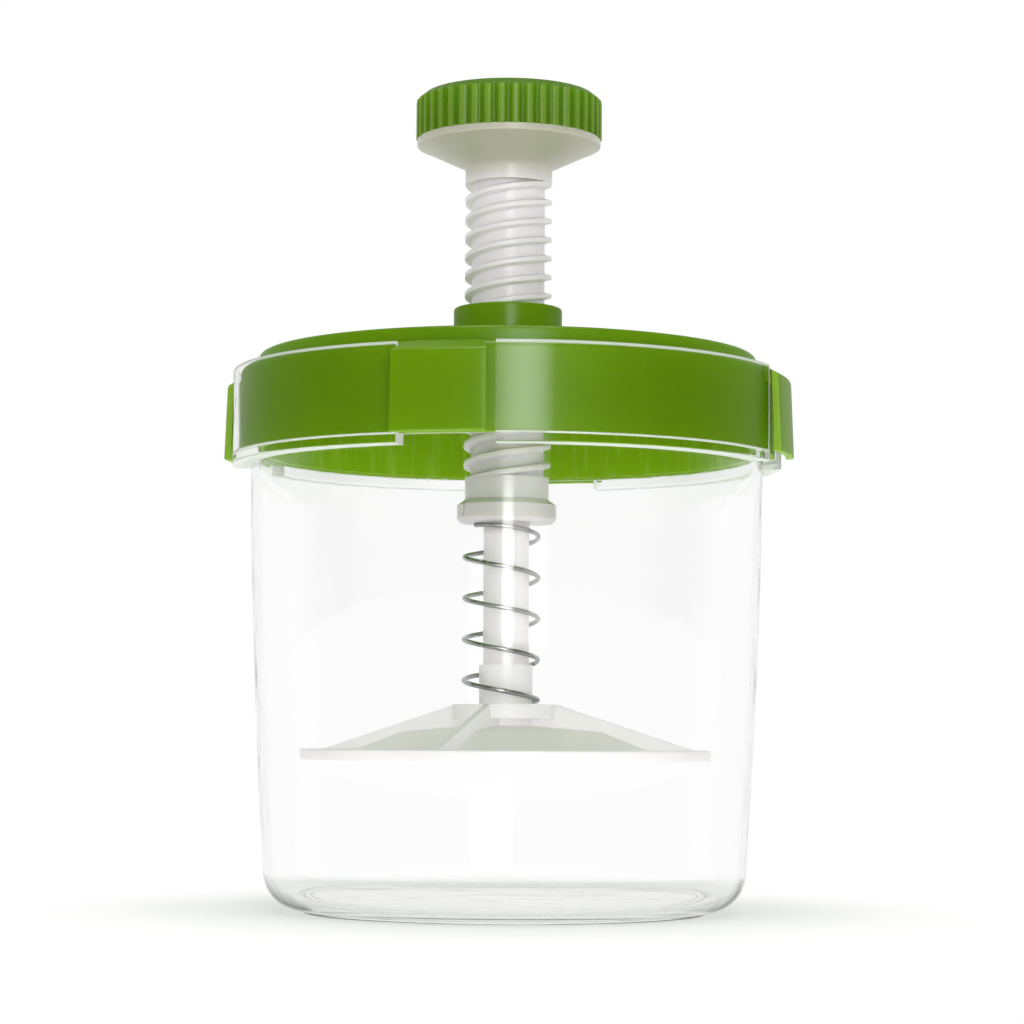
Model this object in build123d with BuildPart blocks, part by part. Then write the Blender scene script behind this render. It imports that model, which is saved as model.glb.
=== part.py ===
from build123d import *
from math import cos, pi, radians, sin
import os

# Pickle press: a clear container whose lid carries a hand screw, and a sprung press plate on a rod
# that slides in the screw. Millimetres, +Z up, origin at the centre of the container's foot.

os.makedirs("parts", exist_ok=True)

# Angles about the vertical axis
quarter_turn = 90
front_angle = -90
full_turn = 360

# Fits and clearances
running_fit = 0.05
press_fit = 0.03
stop_gap = 0.3
lid_clearance = 0.3
overrun = 2.0

# Container
foot_inset = 10.1
foot_width = 2.2
foot_height = 0.8
base_radius = 66.9
mouth_radius = 72.6
wall_bulge = 1.0
wall_thickness = 1.7
floor_thickness = 2.0
corner_radius = 10.5
seat_height = 128.0
step_thickness = 2.9
step_round = 0.6
step_width = 5.2
collar_thickness = 1.5
collar_draft = 0.3
collar_height = 23.9
collar_round = 0.5
notch_count = 4
notch_angle = 19.7
notch_turn = 1.1

# Lid
skirt_height = 24.3
skirt_thickness = 1.8
skirt_draft = 0.6
shoulder_round = 2.6
shoulder_width = 4.8
disc_rise = 4.3
disc_round = 1.2
top_thickness = 2.0
ring_gap = 0.4
ring_thickness = 1.8
tower_wall = 3.05
tower_height = 14.4
tower_round = 0.7
nut_length = 26.0
claw_angle = 18.4
claw_thickness = 2.4
claw_gap = 0.3
claw_step = 0.25
claw_flare = 0.8
claw_drop = 2.85
claw_reach = 0.2
claw_round = 1.5
claw_foot_round = 0.6
web_depth = 4.4
web_angle = 16.5
web_overlap = 0.4

# Screw
thread_radius = 12.4
thread_lead = 10.8
thread_length = 84.4
tail_step = 2.1
tail_wall = 2.0
screw_rise = 35.8
neck_length = 4.6
flare_height = 6.3
head_radius = 26.3
head_rim = 2.0
head_wall = 2.0
spigot_step = 2.3
spigot_height = 6.5

# Knob cap
cap_overhang = 0.3
cap_side = 10.9
crown_slope = 2.6
crown_rise = 2.1
crown_round = 0.8
flute_count = 42
flute_radius = 1.5
flute_depth = 0.7

# Stop collar
stop_height = 12.8
stop_sleeve_step = 0.5
stop_flange_reach = 1.7
stop_flange = 5.0
stop_chamfer = 1.6
stop_edge = 1.0
stop_floor = 1.6
slit_width = 1.0
slit_length = 5.2
slit_angle = -135.8

# Plunger rod
rod_radius = 6.5
rod_wall = 2.4
rod_cover = 4.0
rod_head_height = 4.0
rod_play = 0.3

# Spring
spring_length = 51.3
wire_radius = 0.675
coil_space = 3.95
coil_shift = 1.4
coil_side = -166.9
quarter_count = 18
spring_start = -121.8
seat_gap = 0.3

# Press plate
plate_gap = 9.0
plate_thickness = 2.2
plate_rim_height = 2.9
plate_rim_width = 1.6
plate_round = 0.5
seat_margin = 4.55
seat_thickness = 4.0
rib_count = 4
rib_width = 1.8
rib_height = 12.7
rib_inset = 2.8
rib_turn = -6.3
dome_margin = 15.7
dome_slope = 13.4
dome_edge_rise = 5.1
dome_centre_rise = 7.4
dome_wall = 1.6
socket_wall = 1.1
socket_height = 11.2
socket_floor = 2.0
hub_flare = 0.3

# Levels, worked out from the foot to the knob
rim_top = seat_height + collar_height
shoulder_top = seat_height + skirt_height
disc_top = shoulder_top + disc_rise
tower_top = disc_top + tower_height
nut_foot = tower_top - nut_length
thread_top = tower_top + screw_rise
thread_foot = thread_top - thread_length
stop_foot = thread_foot - stop_height
neck_top = thread_top + neck_length
head_foot = neck_top + flare_height
cap_foot = head_foot + head_rim
flute_top = cap_foot + cap_side
cap_top = flute_top + crown_rise
spring_seat = stop_foot - spring_length
plate_top = spring_seat - rib_height
plate_foot = plate_top - plate_rim_height
socket_top = spring_seat + socket_height

# Radii, worked out from the container's base and mouth, the screw's thread and the rod
foot_radius = base_radius - foot_inset
inner_mouth_radius = mouth_radius - wall_thickness
collar_radius = mouth_radius + step_width
collar_inner_radius = collar_radius - collar_thickness
skirt_foot_radius = collar_inner_radius - lid_clearance
skirt_top_radius = skirt_foot_radius - skirt_draft
ring_radius = inner_mouth_radius - lid_clearance
disc_radius = skirt_top_radius - shoulder_width
nut_bore_radius = thread_radius + running_fit
tower_radius = thread_radius + tower_wall
tail_radius = thread_radius - tail_step
thread_bore = tail_radius - tail_wall
stop_sleeve_radius = thread_radius - stop_sleeve_step
stop_flange_radius = thread_radius + stop_flange_reach
spigot_radius = head_radius - spigot_step
cap_radius = head_radius + cap_overhang
crown_radius = cap_radius - crown_slope
rod_bore = rod_radius - rod_wall
rod_head_radius = thread_bore - rod_play
coil_radius = rod_radius + coil_space
seat_radius = coil_radius + seat_margin
socket_radius = rod_radius + socket_wall
plate_radius = base_radius - plate_gap
rib_reach = plate_radius - rib_inset
dome_foot_radius = plate_radius - dome_margin
dome_edge_radius = dome_foot_radius - dome_slope


# The container's side is a barrel-shaped arc from its base to the mouth, moved in for the inner face.
def wall_profile(inset, floor, corner):
    middle_radius = (base_radius + mouth_radius) / 2 + wall_bulge
    middle_height = (foot_height + seat_height) / 2
    with BuildSketch(Plane.XZ) as profile:
        with BuildLine():
            Line((0, seat_height), (0, floor))
            Line((0, floor), (base_radius - inset, floor))
            ThreePointArc(
                (base_radius - inset, floor),
                (middle_radius - inset, middle_height),
                (mouth_radius - inset, seat_height),
            )
            Line((mouth_radius - inset, seat_height), (0, seat_height))
        make_face()
        lower_corner = profile.vertices().sort_by_distance((base_radius - inset, floor))[0]
        fillet(lower_corner, radius=corner)
    return profile.sketch


# A wedge of the container's rim or the lid, turned about the axis from a radial profile
def radial_plane(angle, sweep_angle):
    return Plane.XZ.rotated((0, 0, angle - sweep_angle / 2))


outer_wall = wall_profile(0, foot_height, corner_radius)
inner_wall = wall_profile(wall_thickness, foot_height + floor_thickness, corner_radius - wall_thickness)

# Container: cup on a foot ring, with a step at its mouth and an upright rim in four lengths
with BuildPart() as container:
    revolve(outer_wall.faces(), axis=Axis.Z)
    with BuildSketch(Plane.XZ):
        with BuildLine():
            Polyline(
                (foot_radius - foot_width, 0),
                (foot_radius, 0),
                (foot_radius, foot_height + floor_thickness / 2),
                (foot_radius - foot_width, foot_height + floor_thickness / 2),
                close=True,
            )
        make_face()
    revolve(axis=Axis.Z)
    rim_angle = full_turn / notch_count - notch_angle
    rim_planes = [
        radial_plane(front_angle + notch_turn + (i + 1 / 2) * full_turn / notch_count, rim_angle)
        for i in range(notch_count)
    ]
    with BuildSketch(*rim_planes) as rim_profile:
        with BuildLine():
            Polyline(
                (mouth_radius - wall_thickness / 2, seat_height - step_thickness),
                (collar_radius, seat_height - step_thickness),
                (collar_radius, rim_top),
                (collar_inner_radius + collar_draft, rim_top),
                (collar_inner_radius, seat_height),
                (mouth_radius - wall_thickness / 2, seat_height),
                close=True,
            )
        make_face()
        fillet(rim_profile.vertices().group_by(Axis.Y)[-1], radius=collar_round)
        step_edge = rim_profile.vertices().sort_by_distance((collar_radius, seat_height - step_thickness))[0]
        fillet(step_edge, radius=step_round)
    revolve(axis=Axis.Z, revolution_arc=rim_angle)
    revolve(inner_wall.faces(), axis=Axis.Z, mode=Mode.SUBTRACT)

container.part.label = "container"
export_step(container.part, "parts/container.step")

# Lid: raised disc, skirt on the container's step, inner ring over its mouth, tower with the nut's bore
with BuildPart() as lid:
    with BuildSketch(Plane.XZ) as lid_profile:
        with BuildLine():
            Polyline(
                (nut_bore_radius, tower_top),
                (tower_radius, tower_top),
                (tower_radius, disc_top),
                (disc_radius, disc_top),
                (disc_radius, shoulder_top),
                (skirt_top_radius, shoulder_top),
                (skirt_foot_radius, seat_height),
                (skirt_foot_radius - skirt_thickness, seat_height),
                (skirt_top_radius - skirt_thickness, shoulder_top - top_thickness),
                (ring_radius, shoulder_top - top_thickness),
                (ring_radius, seat_height + ring_gap),
                (ring_radius - ring_thickness, seat_height + ring_gap),
                (ring_radius - ring_thickness, disc_top - top_thickness),
                (tower_radius, disc_top - top_thickness),
                (tower_radius, nut_foot),
                (nut_bore_radius, nut_foot),
                close=True,
            )
        make_face()
        fillet(lid_profile.vertices().sort_by_distance((tower_radius, tower_top))[0], radius=tower_round)
        fillet(lid_profile.vertices().sort_by_distance((disc_radius, disc_top))[0], radius=disc_round)
        shoulder_corner = lid_profile.vertices().sort_by_distance((skirt_top_radius, shoulder_top))[0]
        fillet(shoulder_corner, radius=shoulder_round)
    revolve(axis=Axis.Z)
    claw_inner = collar_radius + claw_gap
    claw_outer = claw_inner + claw_thickness
    claw_top = shoulder_top - claw_step
    claw_angles = [front_angle + i * full_turn / notch_count for i in range(notch_count)]
    claw_slope = claw_drop / (claw_outer - skirt_top_radius)
    web_inner = skirt_top_radius - skirt_thickness + claw_step / 2
    web_outer = claw_inner + web_overlap
    with BuildSketch(*[radial_plane(angle, web_angle) for angle in claw_angles]):
        with BuildLine():
            Polyline(
                (web_inner, claw_top),
                (skirt_top_radius, claw_top),
                (web_outer, claw_top - (web_outer - skirt_top_radius) * claw_slope),
                (web_outer, claw_top - web_depth),
                (web_inner, claw_top - web_depth),
                close=True,
            )
        make_face()
    revolve(axis=Axis.Z, revolution_arc=web_angle)
    with BuildSketch(*[radial_plane(angle, claw_angle) for angle in claw_angles]) as claw_profile:
        with BuildLine():
            Polyline(
                (claw_inner, claw_top - (claw_inner - skirt_top_radius) * claw_slope),
                (claw_outer, claw_top - claw_drop),
                (claw_outer + claw_flare, seat_height - claw_reach),
                (claw_inner + claw_flare, seat_height - claw_reach),
                (claw_inner, claw_top - web_depth),
                close=True,
            )
        make_face()
        claw_bend = claw_profile.vertices().sort_by_distance((claw_outer, claw_top - claw_drop))[0]
        fillet(claw_bend, radius=claw_round)
        claw_tip = (claw_outer + claw_flare, seat_height - claw_reach)
        fillet(claw_profile.vertices().sort_by_distance(claw_tip)[0], radius=claw_foot_round)
    revolve(axis=Axis.Z, revolution_arc=claw_angle)

lid.part.label = "lid"
export_step(lid.part, "parts/lid.step")

# Press screw: hollow stem at the thread's crest radius, a plain neck, and a flared head under the cap
with BuildPart() as press_screw:
    with BuildSketch(Plane.XZ):
        with BuildLine():
            Polyline(
                (thread_bore, stop_foot + stop_floor),
                (tail_radius, stop_foot + stop_floor),
                (tail_radius, thread_foot),
                (thread_radius, thread_foot),
                (thread_radius, neck_top),
                (head_radius, head_foot),
                (head_radius, cap_foot),
                (spigot_radius, cap_foot),
                (spigot_radius, cap_foot + spigot_height),
                (spigot_radius - head_wall, cap_foot + spigot_height),
                (spigot_radius - head_wall, head_foot),
                (thread_bore + head_wall, neck_top + head_wall / 2),
                (thread_bore, neck_top + head_wall / 2),
                close=True,
            )
        make_face()
    revolve(axis=Axis.Z)

press_screw.part.label = "press_screw"
export_step(press_screw.part, "parts/press_screw.step")

# Knob cap: fluted side and a chamfered crown, pressed on the screw's spigot
with BuildPart() as knob_cap:
    with BuildSketch(Plane.XZ) as cap_profile:
        with BuildLine():
            Polyline(
                (0, cap_top),
                (crown_radius, cap_top),
                (cap_radius, flute_top),
                (cap_radius, cap_foot),
                (spigot_radius + press_fit, cap_foot),
                (spigot_radius + press_fit, flute_top),
                (0, flute_top),
                close=True,
            )
        make_face()
        fillet(cap_profile.vertices().sort_by_distance((crown_radius, cap_top))[0], radius=crown_round)
    revolve(axis=Axis.Z)
    with BuildSketch(Plane.XY.offset(cap_foot - overrun)):
        with PolarLocations(cap_radius + flute_radius - flute_depth, flute_count):
            Circle(flute_radius)
    extrude(amount=cap_top - cap_foot + 2 * overrun, mode=Mode.SUBTRACT)

knob_cap.part.label = "knob_cap"
export_step(knob_cap.part, "parts/knob_cap.step")

# Stop collar: sleeve and flange snapped over the screw's tail, with a floor that holds the rod's head
with BuildPart() as stop_collar:
    with BuildSketch(Plane.XZ):
        with BuildLine():
            Polyline(
                (rod_radius + rod_play, stop_foot),
                (stop_flange_radius - stop_edge, stop_foot),
                (stop_flange_radius, stop_foot + stop_edge),
                (stop_flange_radius, stop_foot + stop_flange),
                (stop_sleeve_radius, stop_foot + stop_flange + stop_chamfer),
                (stop_sleeve_radius, thread_foot),
                (tail_radius + press_fit, thread_foot),
                (tail_radius + press_fit, stop_foot + stop_floor),
                (rod_radius + rod_play, stop_foot + stop_floor),
                close=True,
            )
        make_face()
    revolve(axis=Axis.Z)
    slit_middle = stop_foot + stop_floor + press_fit + slit_length / 2
    with BuildSketch(Plane.XZ.rotated((0, 0, slit_angle + quarter_turn))):
        with Locations((0, slit_middle)):
            Rectangle(slit_width, slit_length)
    slit_reach = stop_flange_radius + overrun
    extrude(amount=slit_reach, both=True, mode=Mode.SUBTRACT)

stop_collar.part.label = "stop_collar"
export_step(stop_collar.part, "parts/stop_collar.step")

# Plunger rod: cored from below, with a wider end that rests on the stop collar's floor
rod_head_foot = stop_foot + stop_floor + rod_play
rod_top = rod_head_foot + rod_head_height
rod_foot = plate_top + socket_floor
with BuildPart() as plunger_rod:
    with BuildSketch(Plane.XZ):
        with BuildLine():
            Polyline(
                (0, rod_top),
                (rod_head_radius, rod_top),
                (rod_head_radius, rod_head_foot),
                (rod_radius, rod_head_foot),
                (rod_radius, rod_foot),
                (rod_bore, rod_foot),
                (rod_bore, rod_top - rod_cover),
                (0, rod_top - rod_cover),
                close=True,
            )
        make_face()
    revolve(axis=Axis.Z)

plunger_rod.part.label = "plunger_rod"
export_step(plunger_rod.part, "parts/plunger_rod.step")

# Spring: left-handed, resting to one side of the rod, each end's quarter turn eased down to lie on its seat
coil_top = stop_foot - seat_gap - wire_radius
coil_foot = spring_seat + seat_gap + wire_radius
full_quarters = quarter_count - 1
quarter_drop = (coil_top - coil_foot) / full_quarters


def coil_point(index):
    angle = radians(spring_start + quarter_turn * index)
    drop = quarter_drop * min(max(index - 1 / 2, 0), full_quarters)
    on_axis = Vector(coil_radius * cos(angle), coil_radius * sin(angle), coil_top - drop)
    return on_axis + Vector(cos(radians(coil_side)), sin(radians(coil_side)), 0) * coil_shift


def coil_tangent(index):
    angle = radians(spring_start + quarter_turn * index)
    steep = 0 if index in (0, quarter_count) else quarter_drop
    return Vector(-coil_radius * sin(angle), coil_radius * cos(angle), -steep * 2 / pi).normalized()


def middle_point(start, start_tangent, end, end_tangent):
    """The point where the two arcs of a biarc meet, their tangent lengths being equal."""
    span = end - start
    both = start_tangent + end_tangent
    a = 2 * start_tangent.dot(end_tangent) - 2
    b = -2 * span.dot(both)
    c = span.dot(span)
    reach = (-b - (b * b - 4 * a * c) ** (1 / 2)) / (2 * a)
    return (start + start_tangent * reach + end - end_tangent * reach) * (1 / 2)


with BuildPart() as spring:
    lead_in = coil_tangent(0) * 2 * wire_radius
    lead_out = coil_tangent(quarter_count) * 2 * wire_radius
    with BuildLine() as coil:
        Line(coil_point(0) - lead_in, coil_point(0))
        for i in range(quarter_count):
            start, end = coil_point(i), coil_point(i + 1)
            start_tangent, end_tangent = coil_tangent(i), coil_tangent(i + 1)
            middle = middle_point(start, start_tangent, end, end_tangent)
            first_arc = TangentArc(start, middle, tangent=start_tangent)
            TangentArc(middle, end, tangent=first_arc % 1)
        Line(coil_point(quarter_count), coil_point(quarter_count) + lead_out)
    with BuildSketch(Plane(coil_point(0) - lead_in, z_dir=coil_tangent(0))):
        Circle(wire_radius)
    sweep(path=coil.wires()[0])

spring.part.label = "spring"
export_step(spring.part, "parts/spring.step")

# Press plate: ribbed disc with a raised centre, a seat for the spring and a socket for the rod
dome_edge = plate_top + dome_edge_rise
dome_centre = plate_top + dome_centre_rise
with BuildPart() as press_plate:
    with BuildSketch(Plane.XZ) as plate_profile:
        with BuildLine():
            Polyline(
                (0, dome_centre),
                (dome_edge_radius, dome_edge),
                (dome_foot_radius, plate_top),
                (plate_radius, plate_top),
                (plate_radius, plate_foot),
                (plate_radius - plate_rim_width, plate_foot),
                (plate_radius - plate_rim_width, plate_top - plate_thickness),
                (dome_foot_radius, plate_top - plate_thickness),
                (dome_edge_radius, dome_edge - dome_wall),
                (0, dome_centre - dome_wall),
                close=True,
            )
        make_face()
        fillet(plate_profile.vertices().sort_by_distance((plate_radius, plate_top))[0], radius=plate_round)
    revolve(axis=Axis.Z)
    with BuildSketch(Plane.XZ):
        with BuildLine():
            Polyline(
                (0, spring_seat - seat_thickness),
                (seat_radius, spring_seat - seat_thickness),
                (seat_radius, spring_seat),
                (socket_radius, spring_seat),
                (socket_radius, socket_top),
                (0, socket_top),
                close=True,
            )
        make_face()
    revolve(axis=Axis.Z)
    with BuildSketch(Plane.XZ):
        with BuildLine():
            Polyline(
                (0, plate_top),
                (socket_radius + hub_flare, plate_top),
                (socket_radius, spring_seat),
                (0, spring_seat),
                close=True,
            )
        make_face()
    revolve(axis=Axis.Z)
    rib_planes = [
        Plane.XZ.rotated((0, 0, front_angle + rib_turn + i * full_turn / rib_count))
        for i in range(rib_count)
    ]
    with BuildSketch(*rib_planes):
        with BuildLine():
            Polyline(
                (0, spring_seat),
                (seat_radius, spring_seat),
                (rib_reach, plate_top),
                (rib_reach, plate_top - plate_thickness),
                (0, plate_top - plate_thickness),
                close=True,
            )
        make_face()
    extrude(amount=rib_width / 2, both=True)
    with BuildSketch(Plane.XY.offset(rod_foot)):
        Circle(rod_radius + press_fit)
    extrude(amount=socket_top - rod_foot, mode=Mode.SUBTRACT)

press_plate.part.label = "press_plate"
export_step(press_plate.part, "parts/press_plate.step")

# What the joints need: the travels that these sizes leave
travel_up = nut_foot - thread_foot - stop_gap
travel_down = screw_rise - stop_gap
stroke = stop_foot - socket_top - stop_gap
print("screw travel up and down", round(travel_up, 3), round(travel_down, 3))
print("screw turns up and down", round(travel_up / thread_lead, 3), round(travel_down / thread_lead, 3))
print("plunger stroke", round(stroke, 3))

# The spring's least gap to itself, measured between points on its line a half turn or more apart
points_per_turn = 24
coil_line = coil.wires()[0]
turns = quarter_count * quarter_turn / full_turn
sample_count = round(points_per_turn * turns)
samples = [coil_line @ (i / sample_count) for i in range(sample_count + 1)]
spacings = [
    (samples[i] - samples[j]).length
    for i in range(sample_count + 1)
    for j in range(i + points_per_turn // 2, sample_count + 1)
]
print("spring's least gap to itself", round(min(spacings) - 2 * wire_radius, 3))
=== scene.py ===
"""Looks of a pickle press: clear container, green lid, white hand screw and sprung press plate."""

import logging
import math
from dataclasses import dataclass
from enum import Enum

import bpy
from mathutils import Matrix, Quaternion, Vector


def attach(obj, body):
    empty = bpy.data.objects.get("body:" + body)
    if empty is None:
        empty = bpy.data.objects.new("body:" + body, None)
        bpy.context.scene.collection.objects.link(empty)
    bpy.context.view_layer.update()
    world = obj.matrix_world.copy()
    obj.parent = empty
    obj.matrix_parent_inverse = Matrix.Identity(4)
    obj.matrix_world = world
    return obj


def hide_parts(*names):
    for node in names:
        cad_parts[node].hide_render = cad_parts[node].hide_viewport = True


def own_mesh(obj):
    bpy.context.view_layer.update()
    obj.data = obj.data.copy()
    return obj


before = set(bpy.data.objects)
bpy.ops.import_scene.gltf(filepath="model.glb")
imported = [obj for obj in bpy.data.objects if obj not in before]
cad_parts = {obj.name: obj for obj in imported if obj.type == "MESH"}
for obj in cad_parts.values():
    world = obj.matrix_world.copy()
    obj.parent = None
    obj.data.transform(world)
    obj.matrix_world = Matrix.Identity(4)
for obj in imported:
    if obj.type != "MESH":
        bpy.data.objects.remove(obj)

log = logging.getLogger("pickle_press")

MM = 0.001
FULL_TURN = 2 * math.pi
PLASTIC_IOR = 1.49
ROUND_STEPS = 5
EDGE_SHARE = 0.49
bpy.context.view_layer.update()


class Slot(Enum):
    """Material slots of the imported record."""

    CLEAR = "clear_plastic"
    GREEN = "green_plastic"
    WHITE = "white_plastic"
    MILKY = "milky_plastic"
    STEEL = "spring_steel"


class Body(Enum):
    """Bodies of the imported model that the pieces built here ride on."""

    CONTAINER = "container"
    LID = "lid"
    SPRING = "spring"
    SCREW = "screw"


# ---- shader tools ----


class Value:
    """A shader socket that takes part in arithmetic, one Math node an operation."""

    def __init__(self, graph: "Graph", socket: bpy.types.NodeSocket) -> None:
        """Wraps an output socket of a graph."""
        self.graph = graph
        self.socket = socket

    def _math(self, operation: str, first: object, second: object) -> "Value":
        """A Math node on two numbers or values."""
        return self.graph.add("ShaderNodeMath", {"operation": operation}, {0: first, 1: second})

    def __add__(self, other: object) -> "Value":
        """Sum."""
        return self._math("ADD", self, other)

    def __radd__(self, other: object) -> "Value":
        """Sum with the number first."""
        return self._math("ADD", other, self)

    def __sub__(self, other: object) -> "Value":
        """Difference."""
        return self._math("SUBTRACT", self, other)

    def __rsub__(self, other: object) -> "Value":
        """Difference with the number first."""
        return self._math("SUBTRACT", other, self)

    def __mul__(self, other: object) -> "Value":
        """Product."""
        return self._math("MULTIPLY", self, other)

    def __rmul__(self, other: object) -> "Value":
        """Product with the number first."""
        return self._math("MULTIPLY", other, self)

    def __truediv__(self, other: object) -> "Value":
        """Quotient."""
        return self._math("DIVIDE", self, other)

    def __pow__(self, other: object) -> "Value":
        """Power."""
        return self._math("POWER", self, other)

    def clamped(self) -> "Value":
        """The value kept between 0 and 1."""
        return self.graph.add("ShaderNodeClamp", {}, {"Value": self})

    def larger(self, other: object) -> "Value":
        """The larger of two values."""
        return self._math("MAXIMUM", self, other)

    def size(self) -> "Value":
        """The value without its sign."""
        return self._math("ABSOLUTE", self, 0.0)

    def rise(self, low: float, high: float) -> "Value":
        """A soft step from 0 at one level to 1 at another."""
        share = ((self - low) / (high - low)).clamped()
        return share * share * (3.0 - 2.0 * share)


class Graph:
    """The node graph of a material, a lamp or the world."""

    def __init__(self, owner: bpy.types.ID) -> None:
        """Starts with no nodes.

        Args:
            owner: The material, lamp or world.
        """
        owner.use_nodes = True
        self.tree = owner.node_tree
        self.tree.nodes.clear()

    def add(self, kind: str, settings: dict, inputs: dict, output: object = 0) -> Value:
        """Adds a node.

        Args:
            kind: The node's type name.
            settings: Attributes that are set first.
            inputs: Socket name or number to a number, colour or Value.
            output: Name or number of the output that is returned.

        Returns:
            The node's output.
        """
        node = self.tree.nodes.new(kind)
        for name, setting in settings.items():
            setattr(node, name, setting)
        for name, given in inputs.items():
            if isinstance(given, Value):
                self.tree.links.new(given.socket, node.inputs[name])
            else:
                node.inputs[name].default_value = given
        return Value(self, node.outputs[output])

    def ramp(self, value: Value, low: float, high: float) -> Value:
        """A straight rise from 0 at one level to 1 at another.

        Args:
            value: What rises.
            low: Where it leaves 0.
            high: Where it reaches 1.

        Returns:
            The ramp's colour.
        """
        made = self.add("ShaderNodeValToRGB", {}, {"Fac": value}, "Color")
        black, white = made.socket.node.color_ramp.elements
        black.position, white.position = low, high
        return made

    def mix(self, share: object, first: object, second: object) -> Value:
        """Two colours mixed by the second one's share."""
        inputs = {0: share, 6: opaque(first), 7: opaque(second)}
        return self.add("ShaderNodeMix", {"data_type": "RGBA"}, inputs, 2)

    def noise(self, place: Value, scale: float, detail: float) -> Value:
        """Cloudy noise around one half, from its waves a metre and its octaves."""
        return self.add("ShaderNodeTexNoise", {}, {"Vector": place, "Scale": scale, "Detail": detail}, "Fac")

    def place(self) -> Value:
        """The point on the piece, in metres."""
        return self.add("ShaderNodeTexCoord", {}, {}, "Object")

    def axes(self, vector: Value) -> tuple[Value, Value, Value]:
        """A vector's three parts."""
        parts = [self.add("ShaderNodeSeparateXYZ", {}, {"Vector": vector}, axis) for axis in "XYZ"]
        return parts[0], parts[1], parts[2]

    def facing(self) -> tuple[Value, Value, Value]:
        """How far the surface faces up, away from the axis and along the turn round it.

        Returns:
            The three shares.
        """
        x, y, _ = self.axes(self.place())
        right, back, up = self.axes(self.add("ShaderNodeTexCoord", {}, {}, "Normal"))
        reach = (x * x + y * y + 1e-6) ** 0.5
        return up, (right * x + back * y) / reach, ((back * x - right * y) / reach).size()

    def indirect(self) -> Value:
        """1 on rays that look for light and on rays that leave a matt surface."""
        return self.ray("Shadow").larger(self.ray("Diffuse"))

    def seen(self) -> Value:
        """1 on rays that show the background."""
        return self.ray("Camera").larger(self.ray("Glossy")).larger(self.ray("Transmission"))

    def ray(self, kind: str) -> Value:
        """1 on rays of a kind."""
        return self.add("ShaderNodeLightPath", {}, {}, f"Is {kind} Ray")

    def slant(self) -> Value:
        """0 where the surface is seen straight on, and 1 at its outline."""
        return self.add("ShaderNodeLayerWeight", {}, {"Blend": 0.5}, "Facing")

    def one_colour(self, kind: str, colour: tuple) -> Value:
        """A shader that has only a colour."""
        return self.add(f"ShaderNodeBsdf{kind}", {}, {"Color": opaque(colour)})

    def blend(self, share: object, first: Value, second: Value) -> Value:
        """Two shaders mixed by the second one's share."""
        return self.add("ShaderNodeMixShader", {}, {0: share, 1: first, 2: second})

    def bump(self, height: Value, strength: float, distance: float) -> Value:
        """A normal bent by a height of 0 to 1, whose real size is the distance in metres."""
        inputs = {"Height": height, "Strength": strength, "Distance": distance}
        return self.add("ShaderNodeBump", {}, inputs, "Normal")

    def end(self, kind: str, socket: str, shader: Value) -> None:
        """Links a shader to the socket of a new output node."""
        node = self.tree.nodes.new(kind)
        self.tree.links.new(shader.socket, node.inputs[socket])


def opaque(colour: object) -> object:
    """A colour with four numbers, or a Value unchanged."""
    return colour if isinstance(colour, Value) else (*colour, 1.0)


@dataclass(frozen=True)
class Finish:
    """What all finishes share: a name, and a material that is made once."""

    name: str

    def material(self) -> bpy.types.Material:
        """The finish as a material, made once.

        Returns:
            The material.
        """
        made = bpy.data.materials.get(self.name)
        if made is None:
            made = bpy.data.materials.new(self.name)
            graph = Graph(made)
            graph.end("ShaderNodeOutputMaterial", "Surface", self.shader(graph))
        return made

    def shader(self, graph: Graph) -> Value:
        """The finish's shader, which each finish adds to the graph."""
        raise NotImplementedError


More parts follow.
